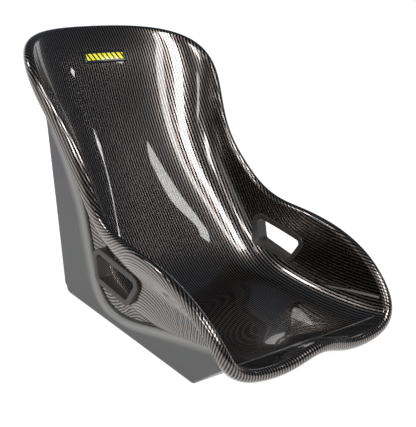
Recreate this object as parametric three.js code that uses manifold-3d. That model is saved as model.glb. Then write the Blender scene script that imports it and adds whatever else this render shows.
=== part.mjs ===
// Low-back bucket seat for a track car or kart-derived racer, bolted flat to the floor.
//
// Two mouldings make the seat: a carbon-fibre front shell with a rolled rim, and a glass-fibre
// rear casing with flat sides, a flat base and a back. Each side has a harness slot framed by an
// outer and an inner bezel, and a seal bead where casing and carbon meet. Two plates and four
// threaded inserts in the base take the floor bolts, and a small plain plate sits on the backrest.
//
// Millimetres, +Z up. The front faces -Y, +X is the sitter's left, and the base lies on z = 0.
// Dimensions along y are counted from a line across the seat pan; the finished group is moved
// so that its origin is in the middle of the base.

import * as THREE from 'three';
import { mergeVertices } from 'three/addons/utils/BufferGeometryUtils.js';
import Module from 'manifold-3d';

// ---------------------------------------------------------------- driving dimensions

// Lines of the front shell's inner face, from the front edge to the top of the back.
// The foot line runs along the middle of the seat, the wing line along the side rim.
const FOOT_LINE = [
  [-196, 54], [-150, 32], [-90, 22], [-25, 18], [45, 16], [112, 18], [172, 50], [225, 95],
  [276, 140], [322, 185], [366, 232], [408, 285], [446, 340], [478, 383], [514, 412],
];
const WING_LINE = [
  [-198, 116], [-150, 141], [-98, 157], [-40, 165], [20, 166], [75, 163], [125, 160], [172, 172],
  [215, 200], [255, 233], [292, 268], [326, 306], [356, 346], [380, 382], [404, 415],
];
const HALF_WIDTH = [196, 204, 208, 208, 207, 204, 197, 189, 181, 174, 176, 188, 203, 210, 203];
const FULLNESS = [4.2, 4.2, 4.4, 5.4, 5.6, 5.2, 4.4, 3.6, 3.0, 2.7, 2.5, 2.4, 2.3, 2.2, 2.1];
const WALL_FLARE = 5;
const CORNER_SQUARENESS = 4;
const STATION_SPACING = 62;

// The raised middle of the front edge, between the two thigh scoops.
const POMMEL_HEIGHT = 19;
const POMMEL_HALF_WIDTH = 62;
const POMMEL_LENGTH = 75;

// The rolled rim, from the front edge to the top: roll radius, how far out and down its skirt
// ends, and how far below the rim it has run back into the wall.
const ROLL_RADIUS = [11, 10, 9, 9, 9, 9, 9, 9, 10, 11, 11.5];
const SKIRT_OUT = [22, 20, 17, 17, 17, 20, 25, 25, 23, 22, 21];
const SKIRT_DROP = [10, 9, 6, 6, 6, 10, 11, 10, 9, 9, 9];
const SKIRT_FADE = [10, 20, 50, 60, 60, 40, 14, 10, 10, 10, 10];
const ROLL_TURN = 110 * Math.PI / 180;
const SHELL_WALL = 4;
// Below the rim the shell's outside stands out to a flat side panel, down to the casing's edge.
const PANEL_INSET = 7;
const PANEL_FADE = 14;
const PANEL_INSIDE = 130;
const PANEL_INSIDE_FADE = 30;
const PANEL_FRONT = -165;
const PANEL_REAR = 400;
const PANEL_END_FADE = 50;

// The casing.
const CASING_HALF_WIDTH = 207;
const CASING_DRAFT = -0.01;
const CASING_WALL = 3.5;
const CASING_CORNER = 6;
const BASE_REAR = 240;
const BASE_FRONT = -114;
const BASE_REAR_RADIUS = 12;
const BASE_FRONT_RADIUS = 8;
const REAR_LEAN = 0.42;
const REAR_TOP_MIDDLE = 383;
const REAR_TOP_SIDE = 318;
const REAR_TOP_SHAPE = 5;
const REAR_CLEARANCE = 15;
const REAR_BLEND = 14;
const FRONT_LEAN = Math.PI / 4;
const FRONT_REACH = 84;
// The edge of the casing's side, from under the shoulder, round the carbon side, to the front.
const SIDE_EDGE_REAR = [
  [370, 311], [349, 296], [327, 279], [303, 259], [279, 235], [256, 209], [236, 187], [219, 162],
  [204, 134], [189, 109], [175, 83],
];
const SIDE_EDGE_FRONT = [
  [175, 83], [157, 51], [130, 29], [95, 23], [57, 28], [17, 41], [-23, 54], [-64, 66.5],
  [-106, 80], [-160, 94],
];
// Where, along those two lines, the rear fillet's first row and the base's last row end.
const REAR_FILLET_SHARE = 0.93;
const BASE_SHARE = 0.88;
const SIDE_EDGE_ROUND = 13;
const SIDE_EDGE_STEP = 6;

// The harness slot, as [y, z] corners of its opening, and the bezels round it.
const SLOT_CORNERS = [[159, 119], [48, 109], [64, 70], [141, 77]];
const SLOT_CORNER_RADIUS = 7;
const SLOT_CLEARANCE = 1.5;
const BEZEL_WIDTH = 11;
const BEZEL_FACE_X = 217;
const BEZEL_INNER_HEIGHT = 3;

// The seal bead, which lies along the casing's side edge.
const BEAD_RADIUS = 2;

// Floor fixings: M8 threaded inserts in two plates.
const INSERT_X = 145;
const INSERT_FRONT_Y = -57;
const INSERT_REAR_Y = 183;
const INSERT_RADIUS = 8;
const INSERT_FLANGE_RADIUS = 12;
const INSERT_FLANGE = 2;
const INSERT_CROWN = 1;
const THREAD_RADIUS = 4;
const PLATE_LENGTH = 330;
const PLATE_WIDTH = 40;
const PLATE_THICKNESS = 4;
const FIT_GAP = 0.3;

// The plain plate on the backrest.
const BADGE_WIDTH = 106;
const BADGE_HEIGHT = 25;
const BADGE_THICKNESS = 0.8;
const BADGE_STATION = 0.905;

// Fineness of the mesh.
const CELLS_ACROSS = 24;
const CELLS_ALONG = 32;

// ---------------------------------------------------------------- small helpers

const wasm = await Module();
wasm.setup();

// A smooth curve drawn towards a list of evenly spaced values, starting and ending on its ends.
function smoothValue(values, t) {
  const last = values.length - 1;
  const place = Math.min(Math.max(t, 0), 1) * last;
  const cell = Math.min(Math.floor(place), last - 1);
  const f = place - cell;
  const at = (i) => {
    if (i < 0) return 2 * values[0] - values[1];
    if (i > last) return 2 * values[last] - values[last - 1];
    return values[i];
  };
  const a = (1 - f) ** 3 / 6;
  const b = (3 * f ** 3 - 6 * f ** 2 + 4) / 6;
  const c = (-3 * f ** 3 + 3 * f ** 2 + 3 * f + 1) / 6;
  const d = f ** 3 / 6;
  return a * at(cell - 1) + b * at(cell) + c * at(cell + 1) + d * at(cell + 2);
}

function smoothPoint(points, t) {
  return [smoothValue(points.map((p) => p[0]), t), smoothValue(points.map((p) => p[1]), t)];
}

function smoothStep(f) {
  const c = Math.min(Math.max(f, 0), 1);
  return c * c * (3 - 2 * c);
}

function range(count) {
  return Array.from({ length: count }, (_, i) => i);
}

// A closed body from a list of points and triangles, turned so that its faces point out.
function closedBody(points, triangles) {
  let volume = 0;
  for (const [a, b, c] of triangles) {
    volume += points[a].dot(points[b].clone().cross(points[c]));
  }
  const index = volume > 0 ? triangles.flat() : triangles.flatMap(([a, b, c]) => [a, c, b]);
  const geometry = new THREE.BufferGeometry();
  const position = new Float32Array(points.flatMap((p) => [p.x, p.y, p.z]));
  geometry.setAttribute('position', new THREE.BufferAttribute(position, 3));
  geometry.setIndex(index);
  return geometry;
}

function toSolid(geometry) {
  const bare = geometry.clone();
  bare.deleteAttribute('normal');
  bare.deleteAttribute('uv');
  const merged = mergeVertices(bare, 1e-4);
  return new wasm.Manifold(new wasm.Mesh({
    numProp: 3,
    vertProperties: new Float32Array(merged.attributes.position.array),
    triVerts: new Uint32Array(merged.index.array),
  }));
}

function toGeometry(solid) {
  const mesh = solid.getMesh();
  const geometry = new THREE.BufferGeometry();
  geometry.setAttribute('position', new THREE.BufferAttribute(mesh.vertProperties, 3));
  geometry.setIndex(new THREE.BufferAttribute(mesh.triVerts, 1));
  return geometry;
}

// Two triangles for each cell of a grid of point numbers. The cells before row `turned` are
// split along their other diagonal, so that a grid can mirror itself.
function gridTriangles(rows, turned = 0) {
  const triangles = [];
  for (let i = 0; i + 1 < rows.length; i += 1) {
    for (let j = 0; j + 1 < rows[i].length; j += 1) {
      const [a, b, c, d] = [rows[i][j], rows[i][j + 1], rows[i + 1][j + 1], rows[i + 1][j]];
      if (i < turned) triangles.push([a, b, d], [b, c, d]);
      else triangles.push([a, b, c], [a, c, d]);
    }
  }
  return triangles;
}

// ---------------------------------------------------------------- the seat's inner face

// A point of the inner face: `across` runs from -1 to 1 between the wing lines, `along` from 0
// at the front to 1 at the top. Each section is a superellipse between foot and wing.
function seatPoint(across, along) {
  const [footY, footZ] = smoothPoint(FOOT_LINE, along);
  const [wingY, wingZ] = smoothPoint(WING_LINE, along);
  const half = smoothValue(HALF_WIDTH, along);
  const power = smoothValue(FULLNESS, along);
  const angle = Math.min(Math.abs(across), 1) * Math.PI / 2;
  const size = (Math.sin(angle) ** power + Math.cos(angle) ** power) ** (1 / power);
  const rise = 1 - Math.cos(angle) / size;
  const x = Math.sign(across) * (half * Math.sin(angle) / size + WALL_FLARE * rise ** 3);
  const length = along * (FOOT_LINE.length - 1) * STATION_SPACING;
  const pommel = POMMEL_HEIGHT * Math.exp(-((x / POMMEL_HALF_WIDTH) ** 2))
    * Math.exp(-((length / POMMEL_LENGTH) ** 2));
  return new THREE.Vector3(
    x,
    footY + (wingY - footY) * rise,
    footZ + (wingZ - footZ) * rise + pommel,
  );
}

// The face's normal, pointing away from the sitter.
function seatNormal(across, along) {
  const step = 1e-3;
  const a = Math.min(Math.max(across, step - 1), 1 - step);
  const s = Math.min(Math.max(along, step), 1 - step);
  const dAcross = seatPoint(a + step, s).sub(seatPoint(a - step, s));
  const dAlong = seatPoint(a, s + step).sub(seatPoint(a, s - step));
  return dAlong.cross(dAcross).normalize();
}

// Closes in on the place between two ends where `isLow` turns false.
function halve(ends, isLow) {
  let [low, high] = ends;
  for (let i = 0; i < 20; i += 1) {
    const middle = (low + high) / 2;
    if (isLow(middle)) low = middle;
    else high = middle;
  }
  return low;
}

// The point of the inner face, on the sitter's left, where two of its coordinates have the
// values given. Halving finds the station for each `across`, and then `across` itself.
function findPoint([stationAxis, stationValue], [acrossAxis, acrossValue], stations) {
  const at = (across) => seatPoint(across, halve(stations, (along) => (
    seatPoint(across, along)[stationAxis] < stationValue
  )));
  return at(halve([0, 1], (across) => at(across)[acrossAxis] < acrossValue));
}

// Depth (y) of the inner face behind a place on the backrest.
function backrestDepth(x, z) {
  return findPoint(['z', z], ['x', x], [0.33, 1]).y;
}

// Half-width (x) of the inner face beside a place on the side wall.
function sideWallX(y, z) {
  return findPoint(['y', y], ['z', z], [0, 1]).x;
}

// Height (z) of the inner face over a place on the pan.
function panHeight(x, y) {
  return findPoint(['y', y], ['x', x], [0, 0.5]).z;
}

// A square grid bent into the rim's outline: a rounded rectangle in the face's own directions.
function outlinePlace(u, v) {
  const x = u * Math.sqrt(1 - v * v / 2);
  const y = v * Math.sqrt(1 - u * u / 2);
  const radius = Math.hypot(x, y);
  if (radius === 0) return [0, 0.5];
  const power = 2 + (CORNER_SQUARENESS - 2) * radius * radius;
  const scale = radius / (Math.abs(x) ** power + Math.abs(y) ** power) ** (1 / power);
  return [x * scale, (y * scale + 1) / 2];
}

// ---------------------------------------------------------------- front shell

// The rim's section at one station, as [out, up] steps from the inner face: the roll, then the
// skirt, which leaves the roll smoothly and ends furthest out.
function rimSection(along, grow) {
  const radius = smoothValue(ROLL_RADIUS, along);
  const end = [smoothValue(SKIRT_OUT, along) + grow, -smoothValue(SKIRT_DROP, along) - grow];
  const section = [];
  for (const f of [0.25, 0.5, 0.75, 1]) {
    const a = f * ROLL_TURN;
    section.push([radius - (radius + grow) * Math.cos(a), (radius + grow) * Math.sin(a)]);
  }
  const [startOut, startUp] = section[section.length - 1];
  const reach = 0.5 * Math.hypot(end[0] - startOut, end[1] - startUp);
  const bend = [
    startOut + reach * Math.sin(ROLL_TURN), startUp + reach * Math.cos(ROLL_TURN),
  ];
  for (const f of [0.5, 1]) {
    section.push([0, 1].map((k) => (
      (1 - f) ** 2 * [startOut, startUp][k] + 2 * f * (1 - f) * bend[k] + f * f * end[k]
    )));
  }
  return section;
}

// Height (z) of the casing's side edge at a depth, past whose ends it stays level.
function sideEdgeHeight(y) {
  const edge = y > SIDE_EDGE_FRONT[0][0] ? SIDE_EDGE_REAR : SIDE_EDGE_FRONT;
  return smoothPoint(edge, halve([0, 1], (t) => smoothPoint(edge, t)[0] > y))[1];
}

// Moves a point of the shell's outside out to the flat side panel, above the casing's edge.
function moveToPanel(point, grow) {
  const above = point.z + 2 * grow - sideEdgeHeight(point.y);
  const share = smoothStep(1 + above / PANEL_FADE)
    * smoothStep((Math.abs(point.x) - PANEL_INSIDE) / PANEL_INSIDE_FADE)
    * smoothStep((point.y - PANEL_FRONT) / PANEL_END_FADE)
    * smoothStep((PANEL_REAR - point.y) / PANEL_END_FADE);
  const reach = casingSide(point.z) - PANEL_INSET + grow - Math.abs(point.x);
  if (reach > 0) point.x += Math.sign(point.x) * reach * share;
  return point;
}

// The shell as a solid, or, for cutting its neighbours, the shell grown all over by `grow`.
function frontShell(grow) {
  const cell = (i, j) => outlinePlace(2 * i / CELLS_ACROSS - 1, 2 * j / CELLS_ALONG - 1);
  const border = [
    ...range(CELLS_ACROSS).map((i) => [i, 0]),
    ...range(CELLS_ALONG).map((j) => [CELLS_ACROSS, j]),
    ...range(CELLS_ACROSS).map((i) => [CELLS_ACROSS - i, CELLS_ALONG]),
    ...range(CELLS_ALONG).map((j) => [0, CELLS_ALONG - j]),
  ];
  const rim = border.map(([i, j]) => {
    const [across, along] = cell(i, j);
    return { along, point: seatPoint(across, along), normal: seatNormal(across, along) };
  });
  rim.forEach((at, k) => {
    const next = rim[(k + 1) % rim.length].point;
    const before = rim[(k + rim.length - 1) % rim.length].point;
    at.up = at.normal.clone().cross(next.clone().sub(before)).normalize();
  });

  const points = [];
  const add = (point) => points.push(point) - 1;
  const place = (at, out, up) => (
    at.point.clone().addScaledVector(at.normal, out).addScaledVector(at.up, up)
  );
  const inner = range(CELLS_ACROSS + 1).map((i) => range(CELLS_ALONG + 1).map((j) => (
    add(seatPoint(...cell(i, j)).addScaledVector(seatNormal(...cell(i, j)), -grow))
  )));
  const outer = range(CELLS_ACROSS + 1).map((i) => range(CELLS_ALONG + 1).map((j) => {
    const [across, along] = cell(i, j);
    const point = seatPoint(across, along);
    const near = rim.reduce((best, at) => (
      point.distanceTo(at.point) < point.distanceTo(best.point) ? at : best
    ));
    const depth = point.distanceTo(near.point);
    const keep = 1 - smoothStep(depth / smoothValue(SKIRT_FADE, near.along));
    const out = SHELL_WALL + (smoothValue(SKIRT_OUT, near.along) - SHELL_WALL) * keep + grow;
    const drop = (smoothValue(SKIRT_DROP, near.along) + grow) * keep;
    point.addScaledVector(seatNormal(across, along), out);
    return add(moveToPanel(point.addScaledVector(near.up, -drop), grow));
  }));
  const rows = rim.map((at, k) => {
    const [i, j] = border[k];
    const section = rimSection(at.along, grow).slice(0, -1);
    return [inner[i][j], ...section.map(([out, up]) => add(place(at, out, up))), outer[i][j]];
  });
  rows.push(rows[0]);
  const middle = CELLS_ACROSS / 2;
  const backs = [...gridTriangles(outer, middle), ...gridTriangles(rows)];
  const flipped = backs.map(([a, b, c]) => [a, c, b]);
  return toSolid(closedBody(points, [...gridTriangles(inner, middle), ...flipped]));
}

// ---------------------------------------------------------------- rear casing

function casingSide(z) {
  return CASING_HALF_WIDTH + CASING_DRAFT * z;
}

// The casing's back: it leans straight up from the base, and swells to clear the backrest.
function casingBack(x, z) {
  const lean = BASE_REAR + REAR_LEAN * z;
  const clear = backrestDepth(Math.abs(x), z) + REAR_CLEARANCE;
  return (lean + clear + Math.sqrt((lean - clear) ** 2 + REAR_BLEND ** 2)) / 2;
}

// The casing's surface as rows from the top of its back, down, along the base and up its front.
// Each row holds the outline's [y, z] at any x, and the edge of the side that it runs to.
function casingRows() {
  const rows = [];
  const rearRows = 14;
  const baseRows = 13;
  const frontRows = 4;
  const lowest = BASE_REAR_RADIUS;
  for (let k = 0; k < rearRows; k += 1) {
    const fall = k / (rearRows - 1);
    rows.push({
      outline: (x) => {
        const shape = Math.min(Math.abs(x) / CASING_HALF_WIDTH, 1) ** REAR_TOP_SHAPE;
        const top = REAR_TOP_MIDDLE + (REAR_TOP_SIDE - REAR_TOP_MIDDLE) * shape;
        const z = top + (lowest - top) * fall;
        return [casingBack(x, z), z];
      },
      edge: smoothPoint(SIDE_EDGE_REAR, fall * REAR_FILLET_SHARE),
    });
  }
  for (const f of [0.35, 0.7, 1]) {
    const a = f * Math.PI / 2;
    const y = BASE_REAR - BASE_REAR_RADIUS * (1 - Math.cos(a));
    const z = BASE_REAR_RADIUS * (1 - Math.sin(a));
    const t = REAR_FILLET_SHARE + (1 - REAR_FILLET_SHARE) * f;
    rows.push({ outline: () => [y, z], edge: smoothPoint(SIDE_EDGE_REAR, t) });
  }
  const baseStart = BASE_REAR - BASE_REAR_RADIUS;
  const baseEnd = BASE_FRONT + BASE_FRONT_RADIUS * Math.tan(FRONT_LEAN / 2);
  for (let k = 1; k <= baseRows; k += 1) {
    const f = k / baseRows;
    const y = baseStart + (baseEnd - baseStart) * f;
    rows.push({ outline: () => [y, 0], edge: smoothPoint(SIDE_EDGE_FRONT, BASE_SHARE * f) });
  }
  const slopeY = baseEnd - BASE_FRONT_RADIUS * Math.sin(FRONT_LEAN);
  const slopeZ = BASE_FRONT_RADIUS * (1 - Math.cos(FRONT_LEAN));
  const onSlope = (run) => [
    slopeY - run * Math.cos(FRONT_LEAN), slopeZ + run * Math.sin(FRONT_LEAN),
  ];
  // How far up the slope the front reaches before it is inside the shell's wall.
  const slopeRun = (x) => halve([0, FRONT_REACH], (run) => {
    const [y, z] = onSlope(run);
    return z < panHeight(x, y) - SHELL_WALL / 2;
  });
  for (let k = 0; k <= frontRows; k += 1) {
    const f = k / frontRows;
    rows.push({
      outline: (x) => onSlope(slopeRun(Math.abs(x)) * f),
      edge: smoothPoint(SIDE_EDGE_FRONT, BASE_SHARE + (1 - BASE_SHARE) * (k + 1) / (frontRows + 1)),
    });
  }
  return rows;
}

// Half of one row, from the middle out: the back or base, the corner, the flat side, the side's
// rounded edge, and a flange in to the shell's wall.
function casingHalfRow({ outline, edge }) {
  const row = [];
  const cornerX = CASING_HALF_WIDTH;
  const [startY, startZ] = outline(cornerX);
  const width = Math.hypot(edge[0] - startY, edge[1] - startZ);
  const [toY, toZ] = [(edge[0] - startY) / width, (edge[1] - startZ) / width];
  const corner = Math.min(CASING_CORNER, 0.35 * width);
  const round = Math.min(SIDE_EDGE_ROUND, 0.45 * width);
  const middleCells = 9;
  const sideCells = 3;
  const sideX = (distance) => casingSide(startZ + toZ * distance);
  const flatX = sideX(corner) - corner;
  for (let i = 0; i <= middleCells; i += 1) {
    const x = flatX * (1 - (1 - i / middleCells) ** 1.3);
    const blend = (i / middleCells) ** 8;
    const [y, z] = outline(x);
    row.push([x, y + (startY - y) * blend, z + (startZ - z) * blend]);
  }
  for (const f of [1 / 3, 2 / 3, 1]) {
    const a = f * Math.PI / 2;
    const distance = corner * (1 - Math.cos(a));
    row.push([flatX + corner * Math.sin(a), startY + toY * distance, startZ + toZ * distance]);
  }
  for (let i = 1; i <= sideCells; i += 1) {
    const distance = corner + (width - corner - round) * i / sideCells;
    row.push([sideX(distance), startY + toY * distance, startZ + toZ * distance]);
  }
  for (const f of [1 / 3, 2 / 3, 1]) {
    const a = f * Math.PI / 2;
    const distance = width - round * (1 - Math.sin(a));
    const x = sideX(distance) - SIDE_EDGE_STEP * (1 - Math.cos(a));
    row.push([x, startY + toY * distance, startZ + toZ * distance]);
  }
  const [edgeX] = row[row.length - 1];
  row.push([Math.min(edgeX - 1, sideWallX(edge[0], edge[1]) + SHELL_WALL / 2), ...edge]);
  return row;
}

function rearCasing() {
  const halves = casingRows().map(casingHalfRow);
  const surface = halves.map((half) => [
    ...half.slice(1).reverse().map(([x, y, z]) => new THREE.Vector3(-x, y, z)),
    ...half.map(([x, y, z]) => new THREE.Vector3(x, y, z)),
  ]);
  const rowCount = surface.length;
  const columnCount = surface[0].length;
  const at = (i, j) => surface[Math.min(Math.max(i, 0), rowCount - 1)][
    Math.min(Math.max(j, 0), columnCount - 1)];
  const points = [];
  const add = (point) => points.push(point) - 1;
  const outer = surface.map((row) => row.map((point) => add(point)));
  const inner = surface.map((row, i) => row.map((point, j) => {
    const down = at(i + 1, j).clone().sub(at(i - 1, j));
    const side = at(i, j + 1).clone().sub(at(i, j - 1));
    const inward = side.cross(down).normalize();
    return add(point.clone().addScaledVector(inward, -CASING_WALL));
  }));
  const border = [
    ...range(columnCount - 1).map((j) => [0, j]),
    ...range(rowCount - 1).map((i) => [i, columnCount - 1]),
    ...range(columnCount - 1).map((j) => [rowCount - 1, columnCount - 1 - j]),
    ...range(rowCount - 1).map((i) => [rowCount - 1 - i, 0]),
  ];
  const strip = border.map(([i, j]) => [outer[i][j], inner[i][j]]);
  strip.push(strip[0]);
  const flipped = gridTriangles(inner).map(([a, b, c]) => [a, c, b]);
  return toSolid(closedBody(points, [
    ...gridTriangles(outer), ...flipped, ...gridTriangles(strip),
  ]));
}

// ---------------------------------------------------------------- slots, bezels, bead, badge

// A closed slab that follows the inner face over a window of it, between two offsets from it.
function faceSlab(across, along, offsets, cells) {
  const points = [];
  const layers = offsets.map((offset) => range(cells + 1).map((i) => (
    range(cells + 1).map((j) => {
      const a = across[0] + (across[1] - across[0]) * i / cells;
      const s = along[0] + (along[1] - along[0]) * j / cells;
      return points.push(seatPoint(a, s).addScaledVector(seatNormal(a, s), offset)) - 1;
    })
  )));
  const [near, far] = layers;
  const border = [
    ...range(cells).map((k) => [0, k]),
    ...range(cells).map((k) => [k, cells]),
    ...range(cells).map((k) => [cells, cells - k]),
    ...range(cells).map((k) => [cells - k, 0]),
  ];
  const strip = border.map(([i, j]) => [near[i][j], far[i][j]]);
  strip.push(strip[0]);
  const flipped = gridTriangles(far).map(([a, b, c]) => [a, c, b]);
  return toSolid(closedBody(points, [
    ...gridTriangles(near), ...flipped, ...gridTriangles(strip),
  ]));
}

// The slot's outline with round corners, moved outwards by `grow`, as a shape in y and z.
function slotOutline(grow) {
  const corners = SLOT_CORNERS.map(([y, z]) => new THREE.Vector2(y, z));
  const outline = [];
  corners.forEach((corner, k) => {
    const before = corners[(k + 3) % 4].clone().sub(corner).normalize();
    const after = corners[(k + 1) % 4].clone().sub(corner).normalize();
    const half = Math.acos(before.dot(after)) / 2;
    const inward = before.clone().add(after).normalize();
    const centre = corner.clone().addScaledVector(inward, SLOT_CORNER_RADIUS / Math.sin(half));
    const turn = Math.PI / 2 - half;
    for (const f of [-1, -0.5, 0, 0.5, 1]) {
      const spoke = inward.clone().negate().rotateAround(new THREE.Vector2(), f * turn);
      outline.push(centre.clone().addScaledVector(spoke, SLOT_CORNER_RADIUS + grow));
    }
  });
  return THREE.ShapeUtils.area(outline) > 0 ? outline : outline.reverse();
}

// A prism across the seat's left side wall, between two half-widths.
function slotPrism(grow, outside = 240) {
  const inside = 150;
  const shape = new THREE.Shape(slotOutline(grow));
  const depth = outside - inside;
  const prism = new THREE.ExtrudeGeometry(shape, { depth, bevelEnabled: false });
  // The shape's x, y and depth become the seat's y, z and x.
  prism.applyMatrix4(new THREE.Matrix4().set(
    0, 0, 1, inside,
    1, 0, 0, 0,
    0, 1, 0, 0,
    0, 0, 0, 1,
  ));
  return toSolid(prism);
}

// A frame round the slot, between two offsets from the inner face and no wider than `outside`.
function bezel(offsets, outside) {
  const slab = faceSlab([0.5, 1], [0.2, 0.52], offsets, 16);
  const ring = slotPrism(BEZEL_WIDTH, outside).subtract(slotPrism(0));
  return slab.intersect(ring);
}

function sealBead() {
  const stops = [
    ...[0.42, 0.5, 0.6, 0.7, 0.8, 0.9].map((t) => smoothPoint(SIDE_EDGE_REAR, t)),
    ...[0, 0.1, 0.2, 0.3, 0.42, 0.55, 0.7, 0.85].map((t) => smoothPoint(SIDE_EDGE_FRONT, t)),
  ];
  const path = stops.map(([y, z], k) => {
    const [nextY, nextZ] = stops[Math.min(k + 1, stops.length - 1)];
    const [lastY, lastZ] = stops[Math.max(k - 1, 0)];
    const length = Math.hypot(nextY - lastY, nextZ - lastZ);
    const step = BEAD_RADIUS + 3 * FIT_GAP;
    const x = casingSide(z) - SIDE_EDGE_STEP - BEAD_RADIUS / 2;
    return new THREE.Vector3(
      x, y + step * (nextZ - lastZ) / length, z - step * (nextY - lastY) / length,
    );
  });
  const circle = range(6).map((k) => new THREE.Vector2(
    BEAD_RADIUS * Math.cos(k * Math.PI / 3), BEAD_RADIUS * Math.sin(k * Math.PI / 3),
  ));
  const bead = new THREE.ExtrudeGeometry(new THREE.Shape(circle), {
    steps: 36, extrudePath: new THREE.CatmullRomCurve3(path), bevelEnabled: false,
  });
  return toSolid(bead);
}

function badgePlate() {
  const middle = seatPoint(0, BADGE_STATION);
  const perAcross = seatPoint(0.01, BADGE_STATION).distanceTo(middle) / 0.01;
  const perAlong = seatPoint(0, BADGE_STATION + 0.01).distanceTo(middle) / 0.01;
  const across = BADGE_WIDTH / 2 / perAcross;
  const along = BADGE_HEIGHT / 2 / perAlong;
  return faceSlab(
    [-across, across],
    [BADGE_STATION - along, BADGE_STATION + along],
    [-FIT_GAP, -FIT_GAP - BADGE_THICKNESS],
    8,
  );
}

// ---------------------------------------------------------------- floor fixings

function cylinder(radius, bottom, top, x, y) {
  const body = new THREE.CylinderGeometry(radius, radius, top - bottom, 24);
  body.rotateX(Math.PI / 2);
  return body.translate(x, y, (top + bottom) / 2);
}

function threadedInsert(x, y) {
  const plateTop = CASING_WALL + FIT_GAP + PLATE_THICKNESS;
  const flangeFoot = plateTop + FIT_GAP;
  const top = flangeFoot + INSERT_FLANGE;
  const profile = [
    [0, top - INSERT_CROWN], [THREAD_RADIUS, top - INSERT_CROWN], [THREAD_RADIUS, FIT_GAP],
    [INSERT_RADIUS, FIT_GAP], [INSERT_RADIUS, flangeFoot], [INSERT_FLANGE_RADIUS, flangeFoot],
    [INSERT_FLANGE_RADIUS, top], [0, top],
  ];
  const body = new THREE.LatheGeometry(profile.map(([r, z]) => new THREE.Vector2(r, z)), 24);
  return body.rotateX(Math.PI / 2).translate(x, y, 0);
}

function mountingPlate(y) {
  const plate = new THREE.BoxGeometry(PLATE_LENGTH, PLATE_WIDTH, PLATE_THICKNESS);
  plate.translate(0, y, CASING_WALL + FIT_GAP + PLATE_THICKNESS / 2);
  return [-INSERT_X, INSERT_X].reduce((solid, x) => solid.subtract(
    toSolid(cylinder(INSERT_RADIUS + FIT_GAP, 0, 20, x, y)),
  ), toSolid(plate));
}

// ---------------------------------------------------------------- assembly

const seat = new THREE.Group();
seat.position.y = -(BASE_REAR + BASE_FRONT) / 2;

function addPart(name, geometry, finish) {
  const mesh = new THREE.Mesh(geometry, new THREE.MeshStandardMaterial(finish));
  mesh.name = name;
  seat.add(mesh);
}

// The largest body that a cut leaves.
function largest(solid) {
  return solid.decompose().reduce((a, b) => (a.volume() > b.volume() ? a : b));
}

function mirrored(geometry) {
  const copy = geometry.clone().applyMatrix4(new THREE.Matrix4().makeScale(-1, 1, 1));
  const index = copy.index.array;
  for (let k = 0; k < index.length; k += 3) {
    [index[k + 1], index[k + 2]] = [index[k + 2], index[k + 1]];
  }
  return copy;
}

// A piece made for the sitter's left side and its mirror image, each cut clear of the shell.
function addPair(name, solid, blank, finish) {
  const mirror = toSolid(mirrored(toGeometry(solid)));
  addPart(`${name}_left`, toGeometry(largest(solid.subtract(blank))), finish);
  addPart(`${name}_right`, toGeometry(largest(mirror.subtract(blank))), finish);
}

const CARBON = { color: 0x1c1b1d, roughness: 0.12, metalness: 0.1 };
const GLASS_FIBRE = { color: 0x5b5c5a, roughness: 0.35, metalness: 0.0 };
const BEZEL_PLASTIC = { color: 0x3a3735, roughness: 0.4, metalness: 0.0 };
const SEALANT = { color: 0x121212, roughness: 0.5, metalness: 0.0 };
const ENAMEL = { color: 0x111111, roughness: 0.3, metalness: 0.0 };
const STEEL = { color: 0xa8a8a6, roughness: 0.35, metalness: 1.0 };
const ALLOY = { color: 0xb9bbbd, roughness: 0.45, metalness: 1.0 };

const slot = slotPrism(SLOT_CLEARANCE);
const bothSlots = slot.add(toSolid(mirrored(toGeometry(slot))));
const blank = frontShell(FIT_GAP);
addPart('front_shell', toGeometry(frontShell(0).subtract(bothSlots)), CARBON);

const fixings = [INSERT_FRONT_Y, INSERT_REAR_Y].flatMap((y) => (
  [INSERT_X, -INSERT_X].map((x) => ({ x, y }))
));
const casing = fixings.reduce((solid, { x, y }) => solid.subtract(
  toSolid(cylinder(INSERT_RADIUS + FIT_GAP, -10, 20, x, y)),
), rearCasing().subtract(blank));
addPart('rear_casing', toGeometry(largest(casing)), GLASS_FIBRE);

// The outer bezels' slab reaches past their flat face, which trims it.
const outerOffsets = [0, 8 * SHELL_WALL];
const innerOffsets = [-BEZEL_INNER_HEIGHT, SHELL_WALL / 2];
addPair('harness_bezel_outer', bezel(outerOffsets, BEZEL_FACE_X), blank, BEZEL_PLASTIC);
addPair('harness_bezel_inner', bezel(innerOffsets), blank, BEZEL_PLASTIC);
addPair('casing_seal', sealBead(), blank, SEALANT);
addPart('badge_plate', toGeometry(badgePlate()), ENAMEL);
addPart('mounting_plate_front', toGeometry(mountingPlate(INSERT_FRONT_Y)), ALLOY);
addPart('mounting_plate_rear', toGeometry(mountingPlate(INSERT_REAR_Y)), ALLOY);
for (const { x, y } of fixings) {
  const name = `threaded_insert_${y < 0 ? 'front' : 'rear'}_${x > 0 ? 'left' : 'right'}`;
  addPart(name, threadedInsert(x, y), STEEL);
}

export default seat;
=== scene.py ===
"""A low-back carbon bucket seat with a glass-fibre rear casing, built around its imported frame.

Lengths in the code are millimetres in the seat's own lines, and become metres when a mesh is
made. The front faces -Y, +X is the sitter's left and +Z is up, as in the frame.
"""

import math

import bmesh
import bpy
import numpy as np
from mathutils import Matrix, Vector
from mathutils.kdtree import KDTree


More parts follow.
